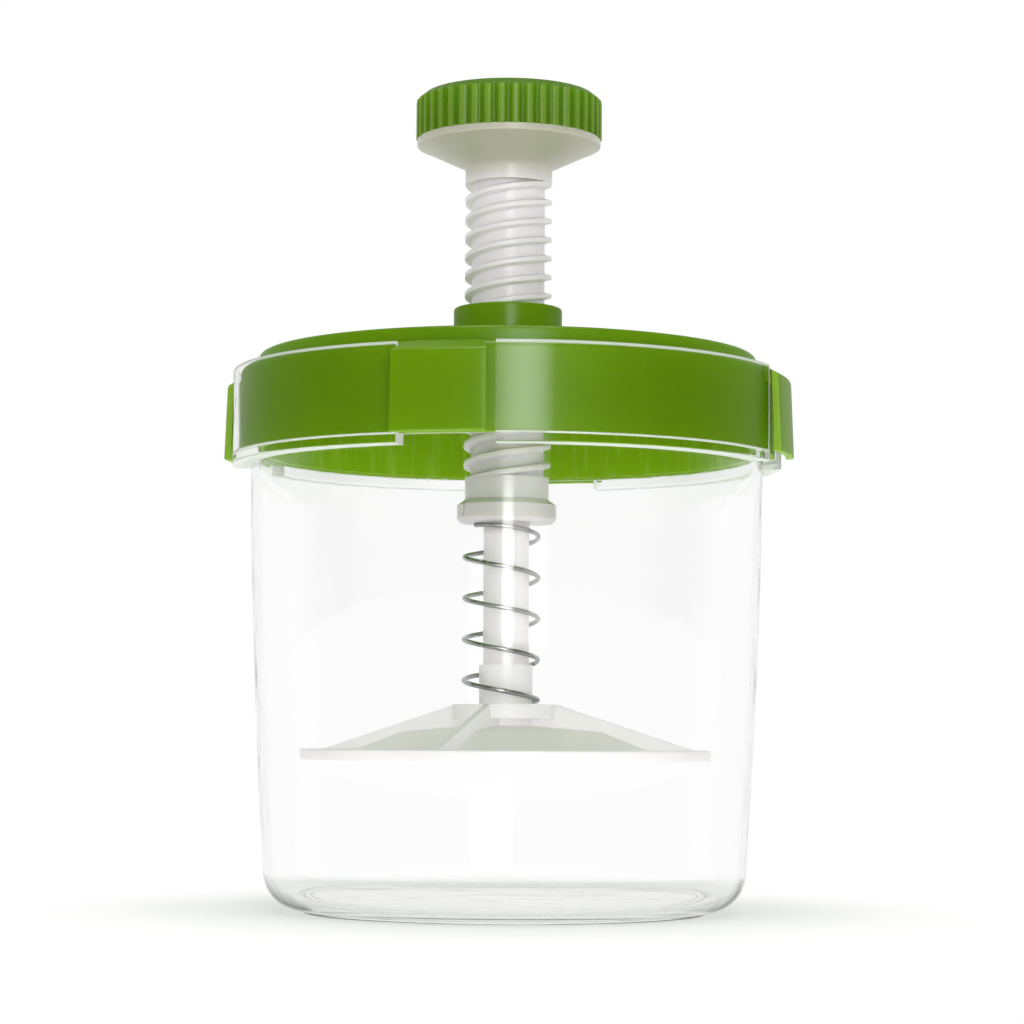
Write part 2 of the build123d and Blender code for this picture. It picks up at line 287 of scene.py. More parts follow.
@dataclass(frozen=True)
class GreenPlastic(Finish):
    """Satin green moulding with faint flow clouds, fine grain and a few scuffs, and painted light and shade."""

    colour: tuple = (0.132, 0.252, 0.0004)
    deep: tuple = (0.114, 0.222, 0.0003)
    # Painted light: a paler green painted on the claws' side faces.
    edge: tuple = (0.26, 0.40, 0.05)
    edge_share: float = 0.8
    claw_turn: tuple = (0.7, 0.95)
    claw_reach: tuple = (0.0760, 0.0772)
    # Painted shade: a darker green painted in the cap's flute hollows.
    groove: tuple = (0.0, 0.001)
    groove_tint: tuple = (0.05, 0.11, 0.0003)
    groove_share: float = 0.0
    glow: tuple = (0.46, 0.95, 0.02)
    glow_share: float = 0.26
    # Painted light: a brighter green, with brighter painted light streaks, on the downward and inward faces.
    # The cap sets it darker, as painted shade.
    under: tuple = (0.235, 0.405, 0.002)
    under_streak: tuple = (0.330, 0.520, 0.040)
    under_down: tuple = (0.7, 0.95)
    under_inward: tuple = (0.5, 0.9)
    # Painted shade: a darker green painted on the lid's raised disc.
    disc: tuple = (0.074, 0.142, 0.0003)
    disc_share: float = 0.7
    disc_foot: tuple = (0.1524, 0.1528)
    disc_reach: tuple = (0.045, 0.072)
    thin_tint: tuple = (0.80, 0.84, 0.74)
    passed: float = 0.55
    coat: float = 0.55
    coat_end: tuple = (0.22, 0.50)
    rough: float = 0.30
    cloud_rough: float = 0.06
    scuff_rough: float = 0.08
    cloud_noise: tuple = (28.0, 3.0)
    cloud_band: tuple = (0.35, 0.7)
    scuff_noise: tuple = (90.0, 6.0)
    scuff_band: tuple = (0.56, 0.72)
    # The streaks are painted light on the inside faces.
    streak_noise: tuple = (420.0, 4.0)
    streak_band: tuple = (0.50, 0.68)
    streak_stretch: tuple = (1.0, 1.0, 0.12)
    grain_noise: tuple = (2600.0, 2.0)
    grain_depth: float = 0.00003

    def paint(self, graph: Graph, place: Value, clouds: Value) -> Value:
        """The moulding's colour: painted light on the claw sides, painted light with light streaks on the
        inside faces (painted shade inside the cap), and painted shade on the disc and in the flutes.

        Args:
            graph: The material's graph.
            place: The point on the piece.
            clouds: The flow clouds.

        Returns:
            The colour.
        """
        up, out, along = graph.facing()
        plain = graph.mix(graph.ramp(clouds, *self.cloud_band), self.deep, self.colour)
        x, y, height = graph.axes(place)
        reach = (x * x + y * y) ** 0.5
        # Painted light: the claws' side faces are painted a paler green.
        claw_side = along.rise(*self.claw_turn) * reach.rise(*self.claw_reach)
        plain = graph.mix(claw_side * self.edge_share, plain, self.edge)
        # Painted light on the downward and inward faces, with painted light streaks. Where the inside colour is
        # darker, as on the cap, this is painted shade.
        inside = (0.0 - up).rise(*self.under_down).larger((0.0 - out).rise(*self.under_inward))
        drawn = graph.add("ShaderNodeVectorMath", {"operation": "MULTIPLY"}, {0: place, 1: self.streak_stretch})
        streaks = graph.ramp(graph.noise(drawn, *self.streak_noise), *self.streak_band)
        plain = graph.mix(inside, plain, graph.mix(streaks, self.under, self.under_streak))
        # Painted shade on the raised disc's top.
        on_disc = height.rise(*self.disc_foot) * reach.rise(*self.disc_reach)
        plain = graph.mix(on_disc * self.disc_share, plain, self.disc)
        # Painted shade in the flute hollows.
        groove = (1.0 - reach.rise(*self.groove)) * self.groove_share
        return graph.mix(groove, plain, self.groove_tint)

    def shader(self, graph: Graph) -> Value:
        """The moulding's shader.

        Args:
            graph: The material's graph.

        Returns:
            The shader.
        """
        place = graph.place()
        clouds = graph.noise(place, *self.cloud_noise)
        fine = graph.noise(place, *self.grain_noise)
        scuffs = graph.ramp(graph.noise(place, *self.scuff_noise), *self.scuff_band)
        rough = self.rough + clouds * self.cloud_rough + scuffs * self.scuff_rough
        inputs = {
            "Base Color": self.paint(graph, place, clouds),
            "Roughness": rough.clamped(),
            "IOR": PLASTIC_IOR,
            "Specular IOR Level": 0.08,
            "Coat Weight": (1.0 - graph.slant().rise(*self.coat_end)) * self.coat,
            "Coat Roughness": 0.22,
            "Subsurface Weight": 0.1,
            "Subsurface Radius": (0.6, 1.0, 0.05),
            "Subsurface Scale": 0.001,
            "Normal": graph.bump(fine, 0.22, self.grain_depth),
        }
        face = graph.add("ShaderNodeBsdfPrincipled", {}, inputs)
        both = graph.blend(self.glow_share, face, graph.one_colour("Translucent", self.glow))
        thin = graph.one_colour("Transparent", self.thin_tint)
        return graph.blend(graph.indirect() * self.passed, both, thin)


@dataclass(frozen=True)
class MilkyPlastic(Finish):
    """Translucent white moulding, with painted shade under the cap and under the lid."""

    colour: tuple = (0.825, 0.795, 0.81)
    shade: tuple = (0.785, 0.755, 0.77)
    # Painted shade: a darker grey with a green tinge, painted on the screw's head under the cap to stand for
    # its shade and the green light through the cap.
    tint: tuple = (0.29, 0.285, 0.165)
    tint_share: float = 0.70
    tint_band: tuple = (0.2030, 0.2145)
    # Painted shade: a darker grey painted on the white pieces where they stand under the lid, 106 to 150 mm up.
    dull: tuple = (0.47, 0.45, 0.44)
    dull_share: float = 0.7
    dull_foot: tuple = (0.1060, 0.1080)
    dull_top: tuple = (0.1440, 0.1500)
    gloss: float = 0.5
    depth: float = 0.003
    body: float = 0.7
    clear: float = 0.0
    passed: float = 0.3
    rough: float = 0.26
    cloud_rough: float = 0.12
    cloud_noise: tuple = (45.0, 3.0)
    cloud_band: tuple = (0.3, 0.75)
    grain_noise: tuple = (1800.0, 2.0)
    grain_depth: float = 0.00003

    def shader(self, graph: Graph) -> Value:
        """The moulding's shader.

        Args:
            graph: The material's graph.

        Returns:
            The shader.
        """
        place = graph.place()
        clouds = graph.noise(place, *self.cloud_noise)
        fine = graph.noise(place, *self.grain_noise)
        _, _, height = graph.axes(place)
        # Painted shade under the cap.
        under_cap = height.rise(*self.tint_band) * self.tint_share
        # Painted shade under the lid.
        under_lid = (1.0 - height.rise(*self.dull_top)) * height.rise(*self.dull_foot) * self.dull_share
        plain = graph.mix(graph.ramp(clouds, *self.cloud_band), self.shade, self.colour)
        tinted = graph.mix(under_cap, plain, self.tint)
        inputs = {
            "Base Color": graph.mix(under_lid, tinted, self.dull),
            "Roughness": (self.rough + clouds * self.cloud_rough).clamped(),
            "IOR": PLASTIC_IOR,
            "Specular IOR Level": self.gloss,
            "Subsurface Weight": self.body,
            "Subsurface Radius": (1.0, 1.0, 0.9),
            "Subsurface Scale": self.depth,
            "Transmission Weight": self.clear,
            "Alpha": 1.0 - graph.indirect() * self.passed,
            "Normal": graph.bump(fine, 0.18, self.grain_depth),
        }
        return graph.add("ShaderNodeBsdfPrincipled", {}, inputs)


@dataclass(frozen=True)
class ClearPlastic(Finish):
    """Clear moulding that bends what is behind it, with painted white highlights on its cut edges and rim top,
    and a rim that mirrors little.
    """

    mirror: tuple = (0.3, 0.3, 0.3)
    face_loss: float = 0.04
    edge_loss: float = 0.50
    base_share: float = 0.25
    base_top: tuple = (0.0030, 0.0060)
    face_tint: tuple = (0.995, 0.997, 0.995)
    edge_tint: tuple = (0.97, 0.975, 0.972)
    wave_noise: tuple = (60.0, 2.0)
    wave_depth: float = 0.0002
    rough: float = 0.015
    speck_rough: float = 0.10
    speck_noise: tuple = (700.0, 4.0)
    speck_band: tuple = (0.60, 0.70)
    # Painted highlight: a white layer painted over the cut edges and over a band at the rim's top.
    edge_white: tuple = (0.93, 0.95, 0.93)
    edge_cover: float = 0.55
    edge_turn: tuple = (0.45, 0.85)
    edge_foot: tuple = (0.1235, 0.1245)
    rim_band: tuple = (0.15095, 0.15125)
    rim_foot: tuple = (0.1252, 0.1262)
    rim_pass: tuple = (0.90, 0.91, 0.89)
    rim_share: float = 0.9
    rim_turn: tuple = (0.035, 0.10)
    rim_leave: tuple = (0.250, 0.2575)

    def shader(self, graph: Graph) -> Value:
        """The moulding's shader.

        Args:
            graph: The material's graph.

        Returns:
            The shader.
        """
        place = graph.place()
        facing = graph.slant()
        edge = facing ** 3.0
        _, _, height = graph.axes(place)
        kept = self.base_share + (1.0 - self.base_share) * height.rise(*self.base_top)
        lost = ((self.face_loss + self.edge_loss * edge) * kept).clamped()
        waves = graph.noise(place, *self.wave_noise)
        specks = graph.ramp(graph.noise(place, *self.speck_noise), *self.speck_band)
        inputs = {
            "Base Color": graph.mix(edge, self.face_tint, self.edge_tint),
            "Roughness": (self.rough + specks * self.speck_rough).clamped(),
            "IOR": PLASTIC_IOR,
            "Specular Tint": opaque(self.mirror),
            "Transmission Weight": 1.0,
            "Alpha": 1.0 - graph.indirect() * (1.0 - lost),
            "Normal": graph.bump(waves, 0.25, self.wave_depth),
        }
        body = graph.add("ShaderNodeBsdfPrincipled", {}, inputs)
        direct = 1.0 - graph.indirect()
        up, _, along = graph.facing()
        leaving = graph.add("ShaderNodeNewGeometry", {}, {}, "Backfacing")
        turned = facing.rise(*self.rim_turn) * height.rise(*self.rim_foot)
        turned = turned * (1.0 - leaving * facing.rise(*self.rim_leave)) * self.rim_share
        bends = {"Color": opaque(self.rim_pass), "Roughness": 0.0, "IOR": PLASTIC_IOR}
        passing = graph.add("ShaderNodeBsdfRefraction", {}, bends)
        glass = graph.blend(turned * direct, body, passing)
        # Painted highlight: white diffuse and translucent light laid over the cut edges and the rim's top band.
        cut = up.size().larger(along).rise(*self.edge_turn) * height.rise(*self.edge_foot)
        cover = cut.larger(height.rise(*self.rim_band)) * self.edge_cover * direct
        soft = graph.one_colour("Diffuse", self.edge_white)
        lit = graph.one_colour("Translucent", self.edge_white)
        return graph.blend(cover, glass, graph.blend(0.5, soft, lit))


@dataclass(frozen=True)
class SpringWire(Finish):
    """Bright drawn steel wire with fine die lines and dull patches."""

    colour: tuple = (0.46, 0.47, 0.46)
    dull: tuple = (0.30, 0.31, 0.31)
    rough: float = 0.20
    patch_rough: float = 0.18
    patch_noise: tuple = (260.0, 4.0)
    patch_band: tuple = (0.35, 0.7)
    line_noise: tuple = (5200.0, 2.0)
    line_depth: float = 0.00002

    def shader(self, graph: Graph) -> Value:
        """The wire's shader.

        Args:
            graph: The material's graph.

        Returns:
            The shader.
        """
        place = graph.place()
        patches = graph.noise(place, *self.patch_noise)
        lines = graph.noise(place, *self.line_noise)
        inputs = {
            "Base Color": graph.mix(graph.ramp(patches, *self.patch_band), self.dull, self.colour),
            "Metallic": 1.0,
            "Roughness": (self.rough + patches * self.patch_rough).clamped(),
            "Normal": graph.bump(lines, 0.2, self.line_depth),
        }
        return graph.add("ShaderNodeBsdfPrincipled", {}, inputs)


CLEAR = ClearPlastic("clear moulding")
GREEN = GreenPlastic("green moulding")
CAP = GreenPlastic(
    "cap moulding",
    # The cap's paler, bluer green is partly its own colour and partly painted highlight on the flute ridges.
    colour=(0.170, 0.285, 0.036),
    deep=(0.150, 0.255, 0.030),
    # Painted shade in the flute hollows.
    groove=(0.02612, 0.02664),
    groove_tint=(0.060, 0.140, 0.0003),
    groove_share=0.95,
    # Painted shade on the cap's downward and inward faces.
    under=(0.110, 0.245, 0.0004),
)
WHITE = MilkyPlastic("white moulding")
MILKY = MilkyPlastic(
    "milky plate moulding",
    colour=(0.89, 0.87, 0.875),
    shade=(0.85, 0.83, 0.835),
    body=0.3,
    clear=0.1,
    passed=0.7,
    gloss=0.2,
)
STEEL = SpringWire("spring wire")


# ---- mesh tools ----


Points = list[tuple[float, float]]
Ring = list[int]


@dataclass
class Corner:
    """A corner of an outline turned about the axis, in millimetres."""

    radius: float
    height: float
    round: float = 0.0


def turns(count: int) -> list[float]:
    """Angles that share out a full turn."""
    return [FULL_TURN * i / count for i in range(count)]


def outline(*corners: Corner, closed: bool = True) -> Points:
    """An outline with its corners rounded.

    Args:
        corners: The corners in order.
        closed: Whether the last corner joins the first.

    Returns:
        Pairs of radius and height.
    """
    points: Points = []
    count = len(corners)
    for i, corner in enumerate(corners):
        here = Vector((corner.radius, corner.height))
        is_end = not closed and i in (0, count - 1)
        if corner.round <= 0 or is_end:
            points.append(tuple(here))
            continue
        before = corners[i - 1]
        after = corners[(i + 1) % count]
        back = Vector((before.radius, before.height)) - here
        ahead = Vector((after.radius, after.height)) - here
        half = back.angle(ahead) / 2
        reach = min(corner.round / math.tan(half), back.length * EDGE_SHARE, ahead.length * EDGE_SHARE)
        start = here + back.normalized() * reach
        end = here + ahead.normalized() * reach
        radius = reach * math.tan(half)
        centre = here + (back.normalized() + ahead.normalized()).normalized() * (radius / math.sin(half))
        first = start - centre
        turn = first.angle_signed(end - centre)
        for step in range(ROUND_STEPS + 1):
            angle = -turn * step / ROUND_STEPS
            c, s = math.cos(angle), math.sin(angle)
            points.append((centre.x + first.x * c - first.y * s, centre.y + first.x * s + first.y * c))
    return points


class Shell:
    """Points and faces of one piece, in millimetres."""

    def __init__(self) -> None:
        """Starts with nothing."""
        self.points: list[tuple[float, float, float]] = []
        self.faces: list[tuple[int, ...]] = []

    def point(self, angle: float, radius: float, height: float) -> int:
        """Adds a point at an angle in radians about the axis, and gives its number."""
        self.points.append((radius * math.cos(angle), radius * math.sin(angle), height))
        return len(self.points) - 1

    def ring(self, angles: list[float], radius: float, height: float) -> Ring:
        """Adds a ring of points, or one point where the radius is nil.

        Args:
            angles: The columns' angles.
            radius: Distance from the axis.
            height: Height.

        Returns:
            A point's number for each column.
        """
        if radius < 1e-6:
            return [self.point(0.0, 0.0, height)] * len(angles)
        return [self.point(angle, radius, height) for angle in angles]

    def face(self, *corners: int) -> None:
        """Adds a face, without the corners that fall together.

        Args:
            corners: Point numbers, anticlockwise seen from outside.
        """
        kept: Ring = []
        for corner in corners:
            if corner not in kept:
                kept.append(corner)
        if len(kept) > 2:
            self.faces.append(tuple(kept))

    def bridge(self, lower: Ring, upper: Ring) -> None:
        """Joins two rings.

        Args:
            lower: The ring that comes first on the outline.
            upper: The next ring.
        """
        count = len(lower)
        for i in range(count):
            j = (i + 1) % count
            self.face(lower[i], lower[j], upper[j], upper[i])

    def rings(self, angles: list[float], points: Points) -> list[Ring]:
        """Adds a ring for each pair of radius and height."""
        return [self.ring(angles, radius, height) for radius, height in points]

    def loft(self, *rings: Ring) -> None:
        """Joins each ring to the next."""
        for lower, upper in zip(rings, rings[1:]):
            self.bridge(lower, upper)

    def piece(self, name: str, finish: Finish, sharp: float = 32.0) -> bpy.types.Object:
        """Makes the Blender object.

        Args:
            name: The piece's name.
            finish: Its finish.
            sharp: Edges that turn more than this many degrees stay crisp.

        Returns:
            The object.
        """
        mesh = bpy.data.meshes.new(name)
        scaled = [(x * MM, y * MM, z * MM) for x, y, z in self.points]
        mesh.from_pydata(scaled, [], self.faces)
        mesh.validate()
        mesh.shade_smooth()
        mesh.set_sharp_from_angle(angle=math.radians(sharp))
        mesh.materials.append(finish.material())
        made = placed(name, mesh)
        weighted = made.modifiers.new("even shading", "WEIGHTED_NORMAL")
        weighted.keep_sharp = True
        return made


def placed(name: str, data: bpy.types.ID) -> bpy.types.Object:
    """A new object in the scene.

    Args:
        name: The object's name.
        data: Its mesh, lamp or camera.

    Returns:
        The object.
    """
    made = bpy.data.objects.new(name, data)
    bpy.context.scene.collection.objects.link(made)
    return made


def settle(piece: bpy.types.Object, body: Body, slot: Slot, *nodes: str) -> None:
    """Puts a finished piece on its body in place of its CAD nodes.

    Args:
        piece: The piece.
        body: The body it rides on.
        slot: The record's material slot; not used.
        nodes: CAD nodes that it stands for.
    """
    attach(piece, body.value)
    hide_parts(*nodes)
    log.info("%s rides on %s, %d faces", piece.name, body.value, len(piece.data.polygons))


def dress_node(node: str, finish: Finish) -> None:
    """Gives a carried-over CAD node its finish.

    Args:
        node: The node's name.
        finish: Its finish.
    """
    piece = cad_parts[node]
    piece.data.materials.clear()
    piece.data.materials.append(finish.material())
    log.info("%s keeps its CAD shape", node)


# ---- the press's sub-assemblies ----


@dataclass
class Container:
    """Clear cup on a foot ring, with a step at its mouth and an upright rim in four lengths."""

    foot_inner: float = 54.6
    foot_outer: float = 56.8
    foot_height: float = 0.8
    base_radius: float = 66.9
    mouth_radius: float = 72.6
    bulge: float = 1.0
    wall: float = 1.7
    floor: float = 2.0
    corner: float = 10.5
    seat: float = 128.0
    step: float = 2.9
    rim_outer: float = 77.8
    rim_inner: float = 76.3
    rim_inner_top: float = 76.6
    rim_top: float = 151.9
    notch: float = 19.7
    notch_turn: float = 1.1
    foot_fillet: float = 1.2
    foot_clear: float = 1.6
    foot_clear_height: float = 2.0
    corner_steps: int = 12
    notch_columns: int = 12
    rim_columns: int = 40
    wall_rows: int = 24

    def side(self, inset: float, low: float, corner: float) -> Points:
        """The barrel-shaped side from the base's middle to the mouth.

        Args:
            inset: How far inside the outer face.
            low: Height of the base's face.
            corner: Radius of the base's corner.

        Returns:
            Pairs of radius and height, from the base upwards.
        """
        start = Vector((self.base_radius, self.foot_height))
        end = Vector((self.mouth_radius, self.seat))
        middle = (start + end) / 2 + Vector((self.bulge, 0))
        centre, radius = circle_through(start, middle, end)
        side_radius = radius - inset

        def reach(height: float) -> float:
            """The side's radius at a height."""
            return centre.x + math.sqrt(side_radius**2 - (height - centre.y) ** 2)

        arc_height = low + corner
        arc_centre = reach(arc_height) - corner
        points = [(0.0, low), (arc_centre * 0.5, low)]
        for i in range(self.corner_steps + 1):
            angle = -math.pi / 2 + math.pi / 2 * i / self.corner_steps
            points.append((arc_centre + corner * math.cos(angle), arc_height + corner * math.sin(angle)))
        for i in range(1, self.wall_rows + 1):
            height = arc_height + (self.seat - self.step - arc_height) * i / self.wall_rows
            points.append((reach(height), height))
        points.append((reach(self.seat), self.seat))
        return points

    def columns(self) -> tuple[list[float], list[bool]]:
        """The columns of four notches, each with a length of the rim after it.

        Returns:
            The columns' angles, and whether the rim stands between each column and the next.
        """
        notch_half = math.radians(self.notch) / 2
        quarter = math.pi / 2
        span = quarter - 2 * notch_half
        angles: list[float] = []
        in_rim: list[bool] = []
        for k in range(4):
            start = -quarter + math.radians(self.notch_turn) + k * quarter - notch_half
            angles += [start + 2 * notch_half * i / self.notch_columns for i in range(self.notch_columns)]
            angles += [start + 2 * notch_half + span * i / self.rim_columns for i in range(self.rim_columns)]
            in_rim += [False] * self.notch_columns + [True] * self.rim_columns
        return angles, in_rim

    def foot(self) -> Points:
        """The outline of the base's underside and its foot ring, from the middle outwards."""
        ring_foot = self.foot_inner - self.foot_fillet
        return [(0.0, self.foot_height), (ring_foot, self.foot_height)] + outline(
            Corner(ring_foot, self.foot_height),
            Corner(self.foot_inner, self.foot_height, 0.3),
            Corner(self.foot_inner + 0.1, 0.0, 0.3),
            Corner(self.foot_outer, 0.0, 0.5),
            Corner(self.foot_outer + 0.1, self.foot_height + 0.1, 0.2),
            Corner(self.foot_outer + self.foot_fillet, self.foot_height + 0.25),
            closed=False,
        )[1:]

    def add_rim(self, shell: Shell, columns: tuple[list[float], list[bool]], low: Ring, high: Ring) -> None:
        """Adds the step and the rim's lengths between two rings of the side.

        Args:
            shell: The container's mesh.
            columns: The columns' angles, and whether the rim stands between each and the next.
            low: The ring under the step.
            high: The ring at the mouth.
        """
        angles, in_rim = columns
        points = outline(
            Corner(self.mouth_radius, self.seat - self.step),
            Corner(self.rim_outer, self.seat - self.step, 0.6),
            Corner(self.rim_outer, self.rim_top, 0.5),
            Corner(self.rim_inner_top, self.rim_top, 0.5),
            Corner(self.rim_inner, self.seat, 0.4),
            Corner(self.mouth_radius, self.seat),
            closed=False,
        )[1:-1]
        chains: list[Ring] = []
        for i, angle in enumerate(angles):
            stands = in_rim[i] or in_rim[i - 1]
            chain = [shell.point(angle, *pair) for pair in points] if stands else []
            chains.append([low[i], *chain, high[i]])
        for i, first in enumerate(chains):
            j = (i + 1) % len(chains)
            second = chains[j]
            if not in_rim[i]:
                shell.face(low[i], low[j], high[j], high[i])
                continue
            for a in range(len(first) - 1):
                shell.face(first[a], second[a], second[a + 1], first[a + 1])
            if not in_rim[i - 1]:
                shell.face(*first)
            if not in_rim[j]:
                shell.face(*reversed(second))

    def build(self) -> None:
        """Builds the container as one closed mesh."""
        shell = Shell()
        columns = self.columns()
        angles = columns[0]
        side = self.side(0.0, self.foot_height, self.corner)
        clear = self.foot_outer + self.foot_clear
        outer = self.foot() + [pair for pair in side if pair[0] > clear or pair[1] > self.foot_clear_height]
        inner = self.side(self.wall, self.foot_height + self.floor, self.corner - self.wall)
        rows = shell.rings(angles, outer)
        lip = shell.ring(angles, inner[-1][0], self.seat)
        shell.loft(*rows[:-1])
        self.add_rim(shell, columns, rows[-2], rows[-1])
        shell.loft(rows[-1], lip, *shell.rings(angles, inner[-2::-1]))
        settle(shell.piece("container_cup", CLEAR), Body.CONTAINER, Slot.CLEAR, "container")


def circle_through(a: Vector, b: Vector, c: Vector) -> tuple[Vector, float]:
    """The circle through three points.

    Args:
        a: First point.
        b: Second point.
        c: Third point.

    Returns:
        Its centre and radius.
    """
    d = 2 * (a.x * (b.y - c.y) + b.x * (c.y - a.y) + c.x * (a.y - b.y))
    aa, bb, cc = a.length_squared, b.length_squared, c.length_squared
    x = (aa * (b.y - c.y) + bb * (c.y - a.y) + cc * (a.y - b.y)) / d
    y = (aa * (c.x - b.x) + bb * (a.x - c.x) + cc * (b.x - a.x)) / d
    centre = Vector((x, y))
    return centre, (a - centre).length


@dataclass
class Lid:
    """Green lid: raised disc, skirt, inner ring, nut tower and four claws."""

    bore: float = 12.45
    tower: float = 15.45
    tower_top: float = 171.0
    nut_foot: float = 145.0
    disc: float = 70.6
    disc_top: float = 156.6
    shoulder: float = 152.3
    skirt_top: float = 75.4
    skirt_foot: float = 76.0
    seat: float = 128.0
    skirt_wall: float = 1.8
    top_wall: float = 2.0
    ring_outer: float = 70.6
    ring_wall: float = 1.8
    ring_foot: float = 128.4
    claw_angle: float = 18.4
    claw_inner: float = 78.1
    claw_outer: float = 80.5
    claw_flare: float = 0.8
    claw_top: float = 152.05
    claw_drop: float = 2.85
    claw_foot: float = 127.8
    web_angle: float = 16.5
    web_depth: float = 4.4
    web_overlap: float = 0.4
    web_sink: float = 0.06
    web_root: float = 0.125
    columns: int = 224
    claw_columns: int = 14
    claw_soft: float = 0.45
    claw_soft_low: float = 0.13
    claw_soft_at: float = 0.3

    def body_outline(self) -> Points:
        """The turned part's outline."""
        under_top = self.shoulder - self.top_wall
        return outline(
            Corner(self.bore, self.nut_foot, 0.5),
            Corner(self.tower, self.nut_foot, 0.5),
            Corner(self.tower, self.disc_top - self.top_wall, 0.8),
            Corner(self.ring_outer - self.ring_wall, self.disc_top - self.top_wall, 1.0),
            Corner(self.ring_outer - self.ring_wall, self.ring_foot, 0.5),
            Corner(self.ring_outer, self.ring_foot, 0.6),
            Corner(self.ring_outer, under_top, 0.4),
            Corner(self.skirt_top - self.skirt_wall, under_top, 0.4),
            Corner(self.skirt_foot - self.skirt_wall, self.seat, 0.3),
            Corner(self.skirt_foot, self.seat, 0.4),
            Corner(self.skirt_top, self.shoulder, 2.6),
            Corner(self.disc, self.shoulder, 0.6),
            Corner(self.disc, self.disc_top, 1.2),
            Corner(self.tower, self.disc_top, 0.6),
            Corner(self.tower, self.tower_top, 0.8),
            Corner(self.bore, self.tower_top, 0.6),
        )

    def slope(self, radius: float) -> float:
        """Height of the claws' sloping top at a radius."""
        return self.claw_top - (radius - self.skirt_top) * self.claw_drop / (self.claw_outer - self.skirt_top)

    def claw_outline(self) -> Points:
        """The outline of a claw's hanging part."""
        return outline(
            Corner(self.claw_inner, self.claw_top - self.web_depth, 0.5),
            Corner(self.claw_inner + self.claw_flare, self.claw_foot, 0.4),
            Corner(self.claw_outer + self.claw_flare, self.claw_foot, 0.6),
            Corner(self.claw_outer, self.slope(self.claw_outer), 1.5),
            Corner(self.claw_inner, self.slope(self.claw_inner), 0.1),
        )

    def web_outline(self) -> Points:
        """The outline of the web that joins a claw to the lid's shoulder.

        Returns:
            Pairs of radius and height.
        """
        reach = self.claw_inner + self.web_overlap
        root = self.skirt_top - self.skirt_wall + self.web_root
        return outline(
            Corner(root, self.claw_top - self.web_depth),
            Corner(reach, self.claw_top - self.web_depth),
            Corner(reach, self.slope(reach) - self.web_sink),
            Corner(self.skirt_top, self.claw_top, 0.6),
            Corner(root, self.claw_top),
        )

    def add_block(self, shell: Shell, points: Points, middle: float, spread: float) -> None:
        """Adds a length of a ring with softened side edges.

        Args:
            shell: The lid's mesh.
            points: The outline.
            middle: The length's middle angle in radians.
            spread: The angle that it takes up, in degrees.
        """
        half = math.radians(spread) / 2
        soft = self.claw_soft / self.claw_outer
        near = soft * self.claw_soft_at
        count = self.claw_columns
        stations = [(-half, self.claw_soft), (-half + near, self.claw_soft_low), (-half + soft, 0.0)]
        stations += [(-half + soft + (2 * half - 2 * soft) * i / count, 0.0) for i in range(1, count)]
        stations += [(half - soft, 0.0), (half - near, self.claw_soft_low), (half, self.claw_soft)]
        rows = []
        for angle, shrink in stations:
            rows.append([shell.point(middle + angle, *pair) for pair in shrunk(points, shrink)])
        size = len(points)
        for first, second in zip(rows, rows[1:]):
            for a in range(size):
                b = (a + 1) % size
                shell.face(first[a], second[a], second[b], first[b])
        shell.face(*rows[0])
        shell.face(*reversed(rows[-1]))

    def build(self) -> None:
        """Builds the lid."""
        shell = Shell()
        rings = shell.rings(turns(self.columns), self.body_outline())
        shell.loft(*rings, rings[0])
        for k in range(4):
            middle = math.radians(90 * k)
            self.add_block(shell, self.claw_outline(), middle, self.claw_angle)
            self.add_block(shell, self.web_outline(), middle, self.web_angle)
        settle(shell.piece("lid_moulding", GREEN), Body.LID, Slot.GREEN, "lid")


def shrunk(points: Points, by: float) -> Points:
    """An outline moved inwards.

    Args:
        points: Pairs of radius and height, anticlockwise.
        by: How far.

    Returns:
        The moved pairs.
    """
    if by == 0:
        return points
    moved = []
    count = len(points)
    for i in range(count):
        before, here, after = (Vector(points[(i + k) % count]) for k in (-1, 0, 1))
        edge_in = (here - before).normalized()
        both = (edge_in + (after - here).normalized()).normalized()
        inward = Vector((-both.y, both.x))
        widen = max(0.5, edge_in.dot(both))
        moved.append(tuple(here + inward * (by / widen)))
    return moved


